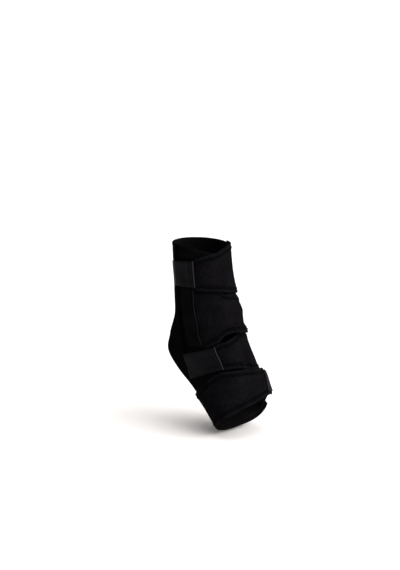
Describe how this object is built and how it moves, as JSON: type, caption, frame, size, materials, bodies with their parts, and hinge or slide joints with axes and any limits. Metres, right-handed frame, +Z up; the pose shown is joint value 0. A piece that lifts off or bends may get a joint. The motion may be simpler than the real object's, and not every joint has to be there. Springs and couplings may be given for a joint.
{
  "type": "ankle brace",
  "caption": "Soft wrap-round ankle brace for a right foot, closed heel, open toe, with crossing flaps that fasten at the sides by hook tabs.",
  "frame": {"origin": "on the leg's axis inside the brace, at the height of the ankle joint, where the wearer's ankle sits", "axes": "+Z up the leg, +X towards the toes, +Y to the inner side of a right foot"},
  "size_m": [0.1555, 0.093, 0.2336],
  "materials": {
    "wrap": "black knit-faced neoprene",
    "pocket": "black woven pocket cloth",
    "flap": "black brushed-loop neoprene",
    "hook_tab": "dark grey hook tape, smooth back"
  },
  "bodies": {
    "root": {"leg_panel": "wrap", "heel_panel": "wrap", "sole_panel": "wrap", "lateral_stay_channel": "pocket", "medial_stay_channel": "pocket", "upper_flap": "flap", "upper_hook_tab": "hook_tab", "ankle_flap": "flap", "ankle_hook_tab": "hook_tab", "instep_strap": "flap", "instep_hook_tab": "hook_tab", "foot_band": "flap", "foot_hook_tab": "hook_tab"}
  },
  "joints": []
}
